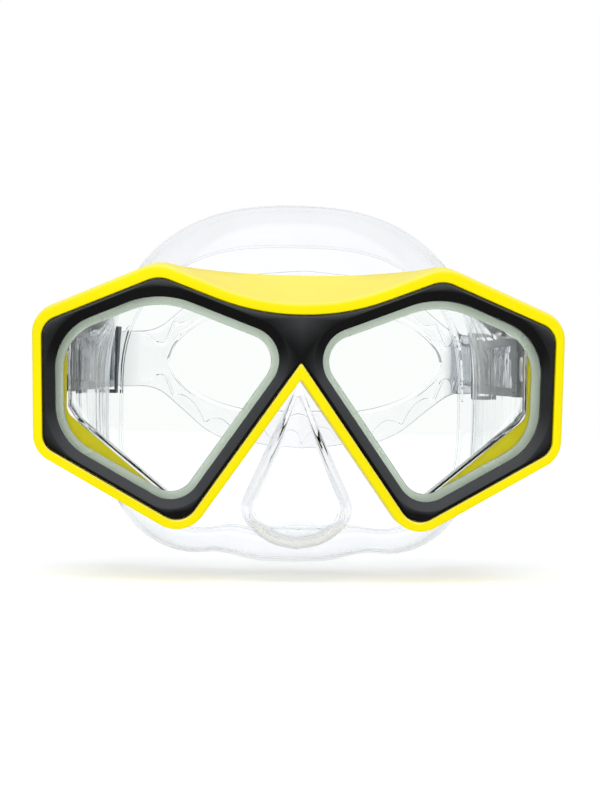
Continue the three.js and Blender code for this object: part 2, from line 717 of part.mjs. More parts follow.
place(mask, "main_frame", frameGeometry(), yellow);
place(mask, "front_bezel", bezelGeometry(), charcoal);
place(mask, "skirt", skirtGeometry(), silicone);

const sides = [
  { name: "left", toSide: (geometry) => geometry, sign: 1, keeperAlong: KEEPER.alongLeft },
  { name: "right", toSide: mirrored, sign: -1, keeperAlong: KEEPER.alongRight },
];

// The strap and both buckles swing together about the line through the two pivots.
const swing = new THREE.Group();
swing.position.set(0, PIVOT.depth, PIVOT.z);
swing.rotation.x = radians(STRAP.tilt);
mask.add(swing);
place(swing, "head_strap", strapGeometry(), silicone);

for (const { name, toSide, sign, keeperAlong } of sides) {
  const { pinRadius, depth, z } = PIVOT;
  const head = rodAlongX(4, LUG.inner - 1.7, LUG.inner - GAP, depth, z);
  const shaft = rodAlongX(pinRadius, LUG.inner - 1.7, EAR.outer - GAP, depth, z);
  const washerRing = rodAlongX(4.6, LUG.outer + GAP, EAR.inner - GAP, depth, z);
  const washerHole = rodAlongX(pinRadius + RUNNING_GAP, LUG.outer, EAR.inner, depth, z);
  place(mask, `lens_${name}`, toSide(lensGeometry()), glass);
  place(mask, `pivot_pin_${name}`, toSide(join(head, shaft)), steel);
  place(mask, `pivot_washer_${name}`, toSide(cut(washerRing, washerHole)), smoke);

  const buckle = new THREE.Group();
  buckle.position.x = sign * PIVOT.x;
  buckle.rotation.z = sign * radians(BUCKLE.turn);
  swing.add(buckle);
  const cheekOuter = BUCKLE.halfHeight - GAP;
  const axle = rodAlongZ(ROLLER.axleRadius, -cheekOuter, cheekOuter, ROLLER.out, ROLLER.along);
  const leverPin = rodAlongZ(LEVER.pinRadius, -cheekOuter, cheekOuter, LEVER.out, LEVER.along);
  place(buckle, `buckle_body_${name}`, toSide(buckleGeometry()), smoke);
  place(buckle, `strap_roller_${name}`, toSide(rollerGeometry()), smoke);
  place(buckle, `roller_axle_${name}`, toSide(axle), steel);
  place(buckle, `release_lever_${name}`, toSide(leverGeometry()), smoke);
  place(buckle, `lever_pin_${name}`, toSide(leverPin), steel);
  place(buckle, `lever_spring_${name}`, toSide(leverSpringGeometry()), steel);
  place(buckle, `strap_keeper_${name}`, toSide(keeperGeometry(keeperAlong)), smoke);
}

export default mask;
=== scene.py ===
"""Looks for the snorkel mask: frame, bezel, glass, clear silicone skirt and strap, buckles.

Shapes are worked out in millimetres in the mask's own space, x to the wearer's left, d back from
the front of the nose bridge and z up, and are written to the meshes in metres in the row frame.
"""
import math

import bmesh
import bpy
import numpy as np
from mathutils import Matrix, Vector
from mathutils.geometry import tessellate_polygon


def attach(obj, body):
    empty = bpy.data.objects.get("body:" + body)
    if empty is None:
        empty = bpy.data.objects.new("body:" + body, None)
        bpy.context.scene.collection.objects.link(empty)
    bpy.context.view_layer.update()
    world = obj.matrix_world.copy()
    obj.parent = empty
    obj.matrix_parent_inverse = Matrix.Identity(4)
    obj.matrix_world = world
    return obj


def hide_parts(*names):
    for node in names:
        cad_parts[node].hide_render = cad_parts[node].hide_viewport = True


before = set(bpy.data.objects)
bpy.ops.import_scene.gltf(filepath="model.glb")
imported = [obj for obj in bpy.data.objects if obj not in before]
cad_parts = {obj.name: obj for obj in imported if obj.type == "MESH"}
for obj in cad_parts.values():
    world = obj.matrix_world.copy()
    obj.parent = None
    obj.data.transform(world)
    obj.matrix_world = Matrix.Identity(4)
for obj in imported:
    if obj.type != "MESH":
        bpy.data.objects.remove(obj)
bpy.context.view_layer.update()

# ---- driving dimensions, in millimetres, as in the CAD source ----
FACE_DEPTH = 70
SWEEP = 0.1
GAP = 0.3
BEZEL_FRONT, BEZEL_BACK = 0.2, 4.0
GLASS_FRONT, GLASS_BACK, GLASS_MARGIN = 4.3, 7.3, 2.2
SEAT_FRONT, SEAT_BACK, SEAT_MARGIN, SEAT_INSET = 7.6, 10.3, 2.3, 0.6
LEDGE_FRONT, LEDGE_BACK = 10.6, 13.5
BROW_RIM, BROW_SLOPE = 3.75, 0.7
WALL = 1.8
NECK_START, NECK_END, NECK_GAP = 8.8, 14.3, 0.75
SEAL_HALF_WIDTH, SEAL_TOP, SEAL_BOTTOM = 64.5, 62.5, 57.5
NOSE_TOP, NOSE_HALF_TOP, NOSE_HALF_BOTTOM = 1.5, 0.8, 19.3
NOSE_SHOULDER, NOSE_BOTTOM, NOSE_BACK = -39.3, -50.7, 47
PIVOT_X, PIVOT_DEPTH, PIVOT_Z = 79.5, 31, 8
EAR_INNER, EAR_OUTER, EAR_RADIUS, PIN_HOLE_RADIUS = 79.9, 83.2, 6.5, 2.3
BUCKLE_TURN, STRAP_TILT = 13, 2.5
ROLLER_ALONG, ROLLER_OUT, ROLLER_RADIUS = 17, 0.6, 1.9
STRAP_THICKNESS, TAIL_HALF_WIDTH, BACK_SHIFT = 1.6, 7.5, 7

# The bezel's outer edge in the x-z plane, the +X half, as [x, z, corner radius]. The frame and the
# windows are offset from it.
BEZEL_CORNERS = [
    [0, 18, 75], [44.5, 35, 9], [81, 20, 6.5],
    [80, -18.5, 6], [36, -43, 7], [0, 8.5, 0.5],
]
RIM = 3
FRAME_TOP_CORNERS = [[0, 34, 300], [45, 39.5, 12], [84, 23, 9.5]]
BAND = 4
WINDOW_RADII = [10.5, 28, 17, 18, 10]
REAR_OPENING_CORNERS = [
    [0, 16, 60], [43.5, 32, 9], [73.5, 19, 6],
    [73.5, -8, 5], [36, -38.5, 6], [0, 12.5, 1.2],
]
ARC = 15  # points on each rounded corner; odd, so that one lies on the middle plane
LEAST_RADIUS = 0.4  # of a corner that an offset makes tighter


# ---- outlines ----
def unit(vector):
    return vector / np.linalg.norm(vector)


def both_halves(half):
    """Adds the -X half of a corner list whose first and last corners lie on x = 0."""
    return half + [[-x, z, r] for x, z, r in half[1:-1]][::-1]


def grown(corners, distance):
    """Moves every side of a clockwise corner list outward."""
    count = len(corners)
    moved = []
    for i, (x, z, radius) in enumerate(corners):
        corner = np.array([x, z], float)
        into = unit(corner - np.array(corners[i - 1][:2], float))
        away = unit(np.array(corners[(i + 1) % count][:2], float) - corner)
        normal_in = np.array([-into[1], into[0]])
        normal_out = np.array([-away[1], away[0]])
        bisector = unit(normal_in + normal_out)
        corner = corner + bisector * distance / (bisector @ normal_in)
        convex = into[0] * away[1] - into[1] * away[0] < 0
        new_radius = radius + (distance if convex else -distance)
        moved.append([corner[0], corner[1], max(LEAST_RADIUS, new_radius)])
    return moved


def grown_half(half, distance):
    return grown(both_halves(half), distance)[: len(half)]


def meeting(a, b, c, d):
    """The point where the line through a and b meets the line through c and d."""
    a, b, c, d = (np.array(p[:2], float) for p in (a, b, c, d))
    first, second = b - a, d - c
    across = first[0] * second[1] - first[1] * second[0]
    return a + first * ((c[0] - a[0]) * second[1] - (c[1] - a[1]) * second[0]) / across


def frame_corners():
    """The bezel's corners outside an even rim, except over the brow."""
    return FRAME_TOP_CORNERS + grown_half(BEZEL_CORNERS, RIM)[3:]


def rim_corners():
    """The frame's outline with the dip of its rim over the brow."""
    dip = BEZEL_CORNERS[0]
    return [[0, dip[1] + BROW_RIM, dip[2] - BROW_RIM]] + frame_corners()[1:]


def window_corners():
    """The +X window: an even band inside the bezel's sides, with softer corners."""
    dip, peak, side_top, side_foot, foot, bridge = BEZEL_CORNERS
    inner = [*meeting(dip, peak, foot, bridge), 0]
    inset = grown([inner, peak, side_top, side_foot, foot], -BAND)
    return [[x, z, radius] for (x, z, _), radius in zip(inset, WINDOW_RADII)]


def rounded(corners, arc=ARC):
    """Points of a closed outline, with the same number on each corner's arc."""
    points = []
    for i, (x, z, radius) in enumerate(corners):
        corner = np.array([x, z], float)
        back = unit(np.array(corners[i - 1][:2], float) - corner)
        on = unit(np.array(corners[(i + 1) % len(corners)][:2], float) - corner)
        half_angle = math.acos(max(-1, min(1, back @ on))) / 2
        centre = corner + unit(back + on) * radius / math.sin(half_angle)
        start = corner + back * radius / math.tan(half_angle) - centre
        end = corner + on * radius / math.tan(half_angle) - centre
        side = 1 if start[0] * end[1] - start[1] * end[0] > 0 else -1
        for k in range(arc):
            spin = side * (math.pi - 2 * half_angle) * k / (arc - 1)
            c, s = math.cos(spin), math.sin(spin)
            points.append(centre + [c * start[0] - s * start[1], s * start[0] + c * start[1]])
    return np.array(points)


def half_outline(half):
    """The +X half of a rounded outline, from the middle of the brow round to the nose."""
    loop = rounded(both_halves(half))
    first = ARC // 2
    line = loop[first : (len(half) - 1) * ARC + first + 1].copy()
    line[0, 0] = line[-1, 0] = 0
    return line


def row(outline, depth):
    """An outline at a depth, leaned back from the nose with the rest of the front."""
    outline = np.asarray(outline)
    return np.column_stack([outline[:, 0], depth + SWEEP * np.abs(outline[:, 0]), outline[:, 1]])


# ---- meshes ----
def loft(rows, closed=False, capped=False):
    """(points, faces) of a grid of rows; closed joins each row's ends, capped fills both end rows."""
    rows = [np.asarray(r, float) for r in rows]
    count = len(rows[0])
    points = np.concatenate(rows)
    faces = []
    for k in range(len(rows) - 1):
        for i in range(count if closed else count - 1):
            j = (i + 1) % count
            faces.append([k * count + i, k * count + j, (k + 1) * count + j, (k + 1) * count + i])
    if capped:
        faces.append(list(range(count))[::-1])
        faces.append([(len(rows) - 1) * count + i for i in range(count)])
    return points, faces


def fill(loops):
    """Flat (points, faces) between an outer loop and any holes in it, all rows of x, d, z."""
    flat = [[Vector((p[0], p[2], 0)) for p in loop] for loop in loops]
    return np.concatenate(loops), [list(f) for f in tessellate_polygon(flat)]


def between(outer, inner):
    """Flat face between two half outlines that both end on the middle plane."""
    return fill([np.concatenate([outer, inner[::-1]])])


def combined(parts):
    points, faces, offset = [], [], 0
    for part_points, part_faces in parts:
        points.append(part_points)
        faces += [[i + offset for i in face] for face in part_faces]
        offset += len(part_points)
    return np.concatenate(points), faces


def reflected(part):
    points, faces = part
    return points * [-1, 1, 1], [face[::-1] for face in faces]


def to_row_frame(points):
    return (np.asarray(points, float) - [0, FACE_DEPTH, 0]) / 1000


def make(name, part, sharp, material=None):
    """A mesh object from (points, faces) in mask space, welded, facing out and smooth shaded."""
    points, faces = part
    mesh = bpy.data.meshes.new(name)
    mesh.from_pydata(to_row_frame(points).tolist(), [], faces)
    bm = bmesh.new()
    bm.from_mesh(mesh)
    bmesh.ops.remove_doubles(bm, verts=bm.verts, dist=2e-6)
    bmesh.ops.dissolve_degenerate(bm, edges=bm.edges, dist=1e-7)
    bmesh.ops.recalc_face_normals(bm, faces=bm.faces)
    bm.to_mesh(mesh)
    bm.free()
    smooth(mesh, sharp)
    obj = bpy.data.objects.new(name, mesh)
    bpy.context.scene.collection.objects.link(obj)
    if material:
        mesh.materials.append(material)
    return obj


def smooth(mesh, sharp):
    mesh.polygons.foreach_set("use_smooth", [True] * len(mesh.polygons))
    mesh.set_sharp_from_angle(angle=math.radians(sharp))


def boolean(obj, tool, operation):
    """Joins or cuts obj with tool, and removes tool."""
    modifier = obj.modifiers.new("boolean", "BOOLEAN")
    modifier.operation = operation
    modifier.object = tool
    modifier.solver = "EXACT"
    bake_modifiers(obj)
    bpy.data.objects.remove(tool)


def bake_modifiers(obj):
    graph = bpy.context.evaluated_depsgraph_get()
    mesh = bpy.data.meshes.new_from_object(obj.evaluated_get(graph))
    obj.modifiers.clear()
    obj.data = mesh


def grid_normals(points):
    """Unit normals of an (n, m, 3) grid whose second direction is open."""
    down = np.gradient(points, axis=0)
    across = np.gradient(points, axis=1)
    normal = np.cross(down, across)
    length = np.linalg.norm(normal, axis=2, keepdims=True)
    return normal / np.maximum(length, 1e-9)


# ---- materials ----
MIX_FIRST, MIX_SECOND, MIX_RESULT = 6, 7, 2  # places of the Mix node's colour sockets


def new_material(name):
    material = bpy.data.materials.new(name)
    material.use_nodes = True
    tree = material.node_tree
    return material, tree, tree.nodes["Principled BSDF"]


def noise(tree, scale, detail=3.0, stretch=(1, 1, 1)):
    """Noise from 0 to 1 in the object's own coordinates."""
    place = tree.nodes.new("ShaderNodeTexCoord")
    mapping = tree.nodes.new("ShaderNodeMapping")
    mapping.inputs["Scale"].default_value = stretch
    texture = tree.nodes.new("ShaderNodeTexNoise")
    texture.inputs["Scale"].default_value = scale
    texture.inputs["Detail"].default_value = detail
    tree.links.new(place.outputs["Object"], mapping.inputs["Vector"])
    tree.links.new(mapping.outputs["Vector"], texture.inputs["Vector"])
    return texture.outputs["Fac"]


def ramped(tree, source, low, high, start=0.3, stop=0.7):
    """Colour or grey running from low to high as source goes from start to stop."""
    ramp = tree.nodes.new("ShaderNodeValToRGB")
    ramp.color_ramp.elements[0].position = start
    ramp.color_ramp.elements[1].position = stop
    ramp.color_ramp.elements[0].color = (*low, 1)
    ramp.color_ramp.elements[1].color = (*high, 1)
    tree.links.new(source, ramp.inputs["Fac"])
    return ramp.outputs["Color"]


def absolute(tree, source):
    size = tree.nodes.new("ShaderNodeMath")
    size.operation = "ABSOLUTE"
    tree.links.new(source, size.inputs[0])
    return size.outputs[0]


def mixed_colour(tree, share, first, second):
    """A colour that goes from first to second as share goes from 0 to 1; both are sockets."""
    mix = tree.nodes.new("ShaderNodeMix")
    mix.data_type = "RGBA"
    tree.links.new(share, mix.inputs["Factor"])
    tree.links.new(first, mix.inputs[MIX_FIRST])
    tree.links.new(second, mix.inputs[MIX_SECOND])
    return mix.outputs[MIX_RESULT]


def normal_share(tree, axis, low, high, either_side=False):
    """Goes from 0 to 1 as the surface normal's part along an axis goes from low to high."""
    place = tree.nodes.new("ShaderNodeTexCoord")
    split = tree.nodes.new("ShaderNodeSeparateXYZ")
    tree.links.new(place.outputs["Normal"], split.inputs["Vector"])
    value = split.outputs[axis]
    if either_side:
        value = absolute(tree, value)
    spread = tree.nodes.new("ShaderNodeMapRange")
    spread.interpolation_type = "SMOOTHSTEP"
    spread.inputs["From Min"].default_value = low
    spread.inputs["From Max"].default_value = high
    tree.links.new(value, spread.inputs["Value"])
    return spread.outputs["Result"]


def set_base_colour(tree, shader, source, low, high):
    """Base colour that drifts between two colours with source."""
    tree.links.new(ramped(tree, source, low, high), shader.inputs["Base Color"])


def set_roughness(tree, shader, source, levels):
    """Roughness that drifts between a low and a high level with source."""
    low, high = levels
    tree.links.new(ramped(tree, source, (low,) * 3, (high,) * 3), shader.inputs["Roughness"])


def add_bump(tree, node, source, distance):
    """Bump of a distance in metres with source as its height, feeding node's normal."""
    bump = tree.nodes.new("ShaderNodeBump")
    bump.inputs["Distance"].default_value = distance
    bump.inputs["Strength"].default_value = 1.0
    tree.links.new(source, bump.inputs["Height"])
    tree.links.new(bump.outputs["Normal"], node.inputs["Normal"])
    return bump


def moulded_plastic(name, dark, light, roughness, grain, grain_depth, specular, top=None):
    """Opaque moulded plastic: slow colour drift, uneven gloss and a fine moulded grain.

    top is painted light: a lighter colour given to faces that look up, as if the lamps lit them
    from above, and the two upward parts of the normal between which it takes over.
    """
    material, tree, shader = new_material(name)
    drift = noise(tree, 28)
    colour = ramped(tree, drift, dark, light)
    # painted light: faces that look up take a lighter colour, standing in for the light from above
    if top:
        painted_top_colour, low, high = top
        painted_top_light = ramped(tree, drift, [c * 0.96 for c in painted_top_colour], painted_top_colour)
        colour = mixed_colour(tree, normal_share(tree, "Z", low, high), colour, painted_top_light)
    tree.links.new(colour, shader.inputs["Base Color"])
    set_roughness(tree, shader, noise(tree, 90), roughness)
    add_bump(tree, shader, noise(tree, grain, detail=2), grain_depth)
    shader.inputs["Specular IOR Level"].default_value = specular
    return material


def clear_silicone(
    name, tint, edge, edge_range, roughness, waviness, index, clarity=1.0, streak_depth=0.0
):
    """Refracting silicone with a slight tint that turns to the edge colour where it is seen edge on.

    clarity below 1 makes it milky, and streak_depth adds upright waves to the walls that face
    sideways. The edge colour is painted shade: darker lines where the surface is seen edge on.
    """
    material, tree, shader = new_material(name)
    drift = noise(tree, 40)
    face_colour = ramped(tree, drift, tint, [min(1, c * 1.02) for c in tint])
    painted_edge_shade = ramped(tree, drift, [c * 0.9 for c in edge], edge)
    # painted shade: the colour darkens to the edge colour where the surface is seen edge on
    facing = tree.nodes.new("ShaderNodeLayerWeight")
    facing.inputs["Blend"].default_value = 0.5
    edge_on = ramped(tree, facing.outputs["Facing"], (0,) * 3, (1,) * 3, *edge_range)
    colour = mixed_colour(tree, edge_on, face_colour, painted_edge_shade)
    tree.links.new(colour, shader.inputs["Base Color"])
    set_roughness(tree, shader, noise(tree, 60), roughness)
    bump = add_bump(tree, shader, noise(tree, 120, detail=1), waviness)
    if streak_depth:
        add_side_streaks(tree, bump, streak_depth)
    shader.inputs["Transmission Weight"].default_value = clarity
    shader.inputs["IOR"].default_value = index
    return material


def add_side_streaks(tree, bump, depth):
    """Upright waves in the walls that face sideways, as the mould's draw leaves them."""
    streaks = noise(tree, 260, detail=2, stretch=(1, 1, 0.06))
    share = normal_share(tree, "X", 0.8, 0.95, either_side=True)
    height = tree.nodes.new("ShaderNodeMath")
    height.operation = "MULTIPLY"
    tree.links.new(streaks, height.inputs[0])
    tree.links.new(share, height.inputs[1])
    add_bump(tree, bump, height.outputs[0], depth)


# The yellow's top colour is painted light: a light yellow on faces that look up, as if lit from above.
YELLOW = moulded_plastic(
    "yellow_plastic", dark=(0.83, 0.71, 0.0), light=(0.88, 0.76, 0.001), roughness=(0.32, 0.42),
    grain=900, grain_depth=0.00004, specular=0.06, top=((0.98, 0.84, 0.16), 0.15, 0.5),
)
# The charcoal's top colour is painted light: lighter grey on faces that look up and the darkest grey on
# faces that look down, as the lamps would light and shade them.
CHARCOAL = moulded_plastic(
    "charcoal_plastic", dark=(0.002, 0.002, 0.002), light=(0.004, 0.004, 0.004), roughness=(0.40, 0.52),
    grain=1600, grain_depth=0.00009, specular=0.06, top=((0.060, 0.063, 0.067), -0.2, 0.45),
)
SMOKE = moulded_plastic(
    "smoke_plastic", dark=(0.020, 0.034, 0.036), light=(0.034, 0.050, 0.052), roughness=(0.25, 0.36),
    grain=1100, grain_depth=0.00003, specular=0.3,
)
DARK = moulded_plastic(
    "dark_plastic", dark=(0.014, 0.024, 0.027), light=(0.024, 0.036, 0.040), roughness=(0.3, 0.42),
    grain=1200, grain_depth=0.00004, specular=0.3,
)
# The silicones' edge colours are painted shade: grey, and near black on the strap, where a surface is
# seen edge on.
SILICONE = clear_silicone(
    "clear_silicone", tint=(0.955, 0.963, 0.974), edge=(0.66, 0.70, 0.715), edge_range=(0.5, 0.9),
    roughness=(0.015, 0.05), waviness=0.00004, index=1.22, streak_depth=0.00013,
)
STRAP_SILICONE = clear_silicone(
    "strap_silicone", tint=(0.955, 0.963, 0.972), edge=(0.15, 0.17, 0.21), edge_range=(0.3, 0.7),
    roughness=(0.02, 0.06), waviness=0.00003, index=1.3,
)
SEAT_SILICONE = clear_silicone(
    "seat_silicone", tint=(0.90, 0.99, 0.86), edge=(0.66, 0.74, 0.64), edge_range=(0.55, 0.95),
    roughness=(0.20, 0.3), waviness=0.00004, index=1.2, clarity=0.3,
)


def brushed_steel():
    material, tree, shader = new_material("pin_steel")
    brushed = noise(tree, 700, stretch=(1, 1, 0.05))
    set_base_colour(tree, shader, brushed, (0.5, 0.51, 0.52), (0.74, 0.75, 0.76))
    set_roughness(tree, shader, brushed, (0.22, 0.36))
    add_bump(tree, shader, brushed, 0.00002)
    shader.inputs["Metallic"].default_value = 1.0
    return material


STEEL = brushed_steel()


def lens_glass():
    """Clear glass, faintly green and slightly smudged, with a low index so that it bends light little."""
    material, tree, shader = new_material("toughened_glass")
    set_roughness(tree, shader, noise(tree, 25), (0.0, 0.02))
    shader.inputs["Base Color"].default_value = (0.96, 0.99, 0.97, 1)
    shader.inputs["Transmission Weight"].default_value = 1.0
    shader.inputs["IOR"].default_value = 1.2
    return material


GLASS = lens_glass()


# ---- frame ----
def frame_part():
    full = half_outline(frame_corners())
    rim = half_outline(rim_corners())
    pocket = half_outline(BEZEL_CORNERS)
    opening = half_outline(REAR_OPENING_CORNERS)
    edge = 0.9  # rounding of the rim's outer edge
    top_edge = 1.7  # the same on the sides that look up
    pocket_front = 0.9  # depth at which the pocket's wall turns onto the rim's face
    crown = 0.15  # how far the rim's face falls away from its middle
    rear_edge = 0.5
    inset_rim = half_outline(grown_half(rim_corners(), -edge))
    upward = (rim - inset_rim)[:, 1:] / edge
    top_inset = half_outline(grown_half(rim_corners(), -top_edge))
    inset_rim += (top_inset - inset_rim) * np.clip((upward - 0.4) / 0.3, 0, 1)
    rows = [row(pocket, LEDGE_FRONT), row(pocket, pocket_front)]
    for share, depth in ((0.06, 0.35), (0.16, crown), (0.5, 0.0)):
        rows.append(row(pocket + (inset_rim - pocket) * share, depth))
    rows.append(row(inset_rim, crown))
    for angle in (30, 60, 90):
        c, s = math.cos(math.radians(angle)), math.sin(math.radians(angle))
        rows.append(row(inset_rim + (rim - inset_rim) * s, crown + edge * (1 - c)))
    climb = (full[:, 1] - rim[:, 1]) / BROW_SLOPE
    start = crown + edge
    middle = np.clip(start + climb, start + 0.05, LEDGE_BACK - 0.6)
    for share in (0.33, 0.66, 1.0):
        rows.append(row(rim + (full - rim) * share, start + (middle - start) * share))
    rows.append(row(full, LEDGE_BACK - rear_edge))
    inner_full = half_outline(grown_half(frame_corners(), -rear_edge))
    rows.append(row(inner_full, LEDGE_BACK))
    half = combined([
        loft(rows),
        between(row(inner_full, LEDGE_BACK), row(opening, LEDGE_BACK)),
        loft([row(opening, LEDGE_BACK), row(opening, LEDGE_FRONT)]),
        between(row(pocket, LEDGE_FRONT), row(opening, LEDGE_FRONT)),
    ])
    return combined([half, reflected(half)])


def ear_part():
    """The lug behind the frame's side that the buckle's pin goes through."""
    root = LEDGE_FRONT + SWEEP * EAR_INNER + 1
    shoulder = root + 4
    root_half, shoulder_half = 10, 9
    tip = PIVOT_DEPTH + EAR_RADIUS
    edge = 0.5
    outline = rounded([
        [root, PIVOT_Z - root_half, 0.1], [shoulder, PIVOT_Z - shoulder_half, 2],
        [tip, PIVOT_Z - EAR_RADIUS, EAR_RADIUS - 0.1],
        [tip, PIVOT_Z + EAR_RADIUS, EAR_RADIUS - 0.1],
        [shoulder, PIVOT_Z + shoulder_half, 2], [root, PIVOT_Z + root_half, 0.1],
    ], 9)
    angles = np.linspace(0, 2 * math.pi, 33)[:-1]
    hole = np.column_stack([
        PIVOT_DEPTH + PIN_HOLE_RADIUS * np.cos(angles), PIVOT_Z + PIN_HOLE_RADIUS * np.sin(angles),
    ])
    centre = outline.mean(axis=0)
    small = outline + (centre - outline) / np.linalg.norm(centre - outline, axis=1)[:, None] * edge

    def at(line, x):
        return np.column_stack([np.full(len(line), x), line[:, 0], line[:, 1]])

    def plate(x, line):
        flat = [[Vector((p[0], p[1], 0)) for p in loop] for loop in (line, hole)]
        return np.concatenate([at(line, x), at(hole, x)]), [list(f) for f in tessellate_polygon(flat)]

    side_rows = [
        at(small, EAR_OUTER), at(outline, EAR_OUTER - edge),
        at(outline, EAR_INNER + edge), at(small, EAR_INNER),
    ]
    return combined([
        plate(EAR_OUTER, small),
        loft(side_rows, closed=True),
        plate(EAR_INNER, small),
        loft([at(hole, EAR_INNER), at(hole, EAR_OUTER)], closed=True),
    ])


def build_frame():
    frame_obj = make("frame_moulding", frame_part(), 32, YELLOW)
    for part, side in ((ear_part(), "left"), (reflected(ear_part()), "right")):
        ear = make(f"frame_ear_{side}", part, 32, YELLOW)
        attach(ear, "mask_body")
    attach(frame_obj, "mask_body")
    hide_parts("main_frame")


# ---- bezel ----
def build_bezel():
    slope_width, slope_depth = 2.9, 1.5
    edge_width, edge_depth = 0.7, 0.6
    outer = half_outline(grown_half(BEZEL_CORNERS, -GAP))
    inset = half_outline(grown_half(BEZEL_CORNERS, -GAP - edge_width))
    window = rounded(window_corners())
    wide = rounded(grown(window_corners(), slope_width))
    front, back = BEZEL_FRONT, BEZEL_BACK

    def slope_row(out, deep):
        """A row on the slope; out and deep are shares of its width and depth."""
        return row(window + (wide - window) * out, front + slope_depth * deep)

    half = combined([
        loft([
            row(outer, back), row(outer, front + edge_depth),
            row(outer + (inset - outer) * 0.4, front + 0.2), row(inset, front),
        ]),
        fill([row(inset, front), row(wide, front)]),
        loft([
            row(wide, front), slope_row(0.94, 0.03), slope_row(0.08, 0.88),
            row(window, front + slope_depth), row(window, back),
        ], closed=True),
        fill([row(outer, back), row(window, back)]),
    ])
    bezel = make("bezel_ring", combined([half, reflected(half)]), 32, CHARCOAL)
    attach(bezel, "mask_body")
    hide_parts("front_bezel")


# ---- glass and seat ----
def build_lenses():
    chamfer = 0.5
    pane = rounded(grown(window_corners(), GLASS_MARGIN))
    small = rounded(grown(window_corners(), GLASS_MARGIN - chamfer))
    part = loft([
        row(small, GLASS_FRONT), row(pane, GLASS_FRONT + chamfer),
        row(pane, GLASS_BACK - chamfer), row(small, GLASS_BACK),
    ], closed=True, capped=True)
    for side, shape in (("left", part), ("right", reflected(part))):
        lens = make(f"lens_pane_{side}", shape, 20, GLASS)
        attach(lens, "mask_body")
        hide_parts(f"lens_{side}")


def build_seat():
    """The flat lens seat of the skirt, a window for each eye with a rounded inner edge."""
    outer = half_outline(grown_half(BEZEL_CORNERS, -SEAT_INSET))
    # how far out from the window's edge and how deep each row of the rounded inner edge lies
    rounds = [(0.9, 0), (0.3, 0.25), (0, 0.8), (0, 1.9), (0.3, 2.45), (0.9, 2.7)]
    loops = [rounded(grown(window_corners(), out - SEAT_MARGIN)) for out, _ in rounds]
    half = combined([
        loft([row(outer, SEAT_BACK), row(outer, SEAT_FRONT)]),
        fill([row(outer, SEAT_FRONT), row(loops[0], SEAT_FRONT)]),
        loft([row(loop, SEAT_FRONT + depth) for loop, (_, depth) in zip(loops, rounds)], closed=True),
        fill([row(outer, SEAT_BACK), row(loops[-1], SEAT_BACK)]),
    ])
    seat = make("skirt_lens_seat", combined([half, reflected(half)]), 32, SEAT_SILICONE)
    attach(seat, "mask_body")


# ---- skirt ----
# The skirt is laid out in four stretches from the brow's middle round to the nose. These are the
# steps in each stretch, and the angles on the seal between which the stretches run.
STRETCHES = [16, 16, 16, 16]
SEAL_ANGLES = [90, 48, 0, -52, -90]
SEAL_POWER_ABOVE, SEAL_POWER_BELOW = 2.4, 3.4  # higher is squarer
SEAL_FORWARD_ABOVE, SEAL_FORWARD_BELOW = 17, 19
LIP_SIDE, LIP_MORE_ABOVE, LIP_MORE_BELOW = 6, 8, 4
LIP_ROLL = 2
DENT_HEIGHT, DENT_X, DENT_WIDTH, DENT_BELOW = 2.4, 24, 9, -30  # where the seal rises beside the nose
WALL_CURVE = 1.8
EDGE_ROWS = 8  # rows over which the wall thins towards the neck and towards the lip
NECK_THICKNESS, LIP_THICKNESS = 0.7, 0.9
LIP_EDGE_THICKNESS = [1.3, 1.9, 1.3]  # the rolled edge, on the last three rows
NOSE_WALL = 1.6
NOSE_OUTSIDE_BACK = 24  # depth at which the solid of the pocket's outside ends
NOSE_CORNER, NOSE_FOOT_CURVE = 7.5, 18
NOSE_FRONT_TOP, NOSE_FRONT_FOOT = 11, 6  # depth of the pocket's front
NOSE_SIDE_ROUND = 13  # how far back the pocket's side takes to turn from its front


def distances(line):
    """How far along a line each of its points lies."""
    return np.concatenate([[0], np.cumsum(np.linalg.norm(np.diff(line, axis=0), axis=1))])


def resampled(line, count):
    """count + 1 points at even spacing along a line."""
    along = distances(line)
    wanted = np.linspace(0, along[-1], count + 1)
    return np.column_stack([np.interp(wanted, along, line[:, k]) for k in range(line.shape[1])])


def root_points():
    """Where the skirt leaves the seat, with as many points as the seal."""
    line = half_outline(grown_half(REAR_OPENING_CORNERS, -NECK_GAP))
    turns = [np.argmax(line[:, 1]), np.argmax(line[:, 0]), np.argmin(line[:, 1])]
    splits = [0, *(int(i) for i in turns), len(line) - 1]
    points = []
    for count, start, stop in zip(STRETCHES, splits, splits[1:]):
        points.append(resampled(line[start : stop + 1], count)[:-1])
    points.append(line[-1:])
    return np.concatenate(points)


def seal_points():
    """The seal line as rows of x, z, depth and lip width."""
    angles = []
    for count, start, stop in zip(STRETCHES, SEAL_ANGLES, SEAL_ANGLES[1:]):
        angles += [start + (stop - start) * i / count for i in range(count)]
    angles = np.radians(angles + [-90])
    cos, sin = np.maximum(np.cos(angles), 0), np.sin(angles)
    above = sin > 0
    power = np.where(above, 2 / SEAL_POWER_ABOVE, 2 / SEAL_POWER_BELOW)
    x = SEAL_HALF_WIDTH * cos**power
    z = np.where(above, SEAL_TOP, SEAL_BOTTOM) * np.sign(sin) * np.abs(sin) ** power
    dent = DENT_HEIGHT * np.exp(-(((x - DENT_X) / DENT_WIDTH) ** 2)) * (z < DENT_BELOW)
    forward = np.where(above, SEAL_FORWARD_ABOVE, SEAL_FORWARD_BELOW)
    depth = FACE_DEPTH - LIP_ROLL - forward * sin**2
    lip = LIP_SIDE + np.where(above, LIP_MORE_ABOVE, LIP_MORE_BELOW) * sin**2
    return x, z + dent, depth, lip


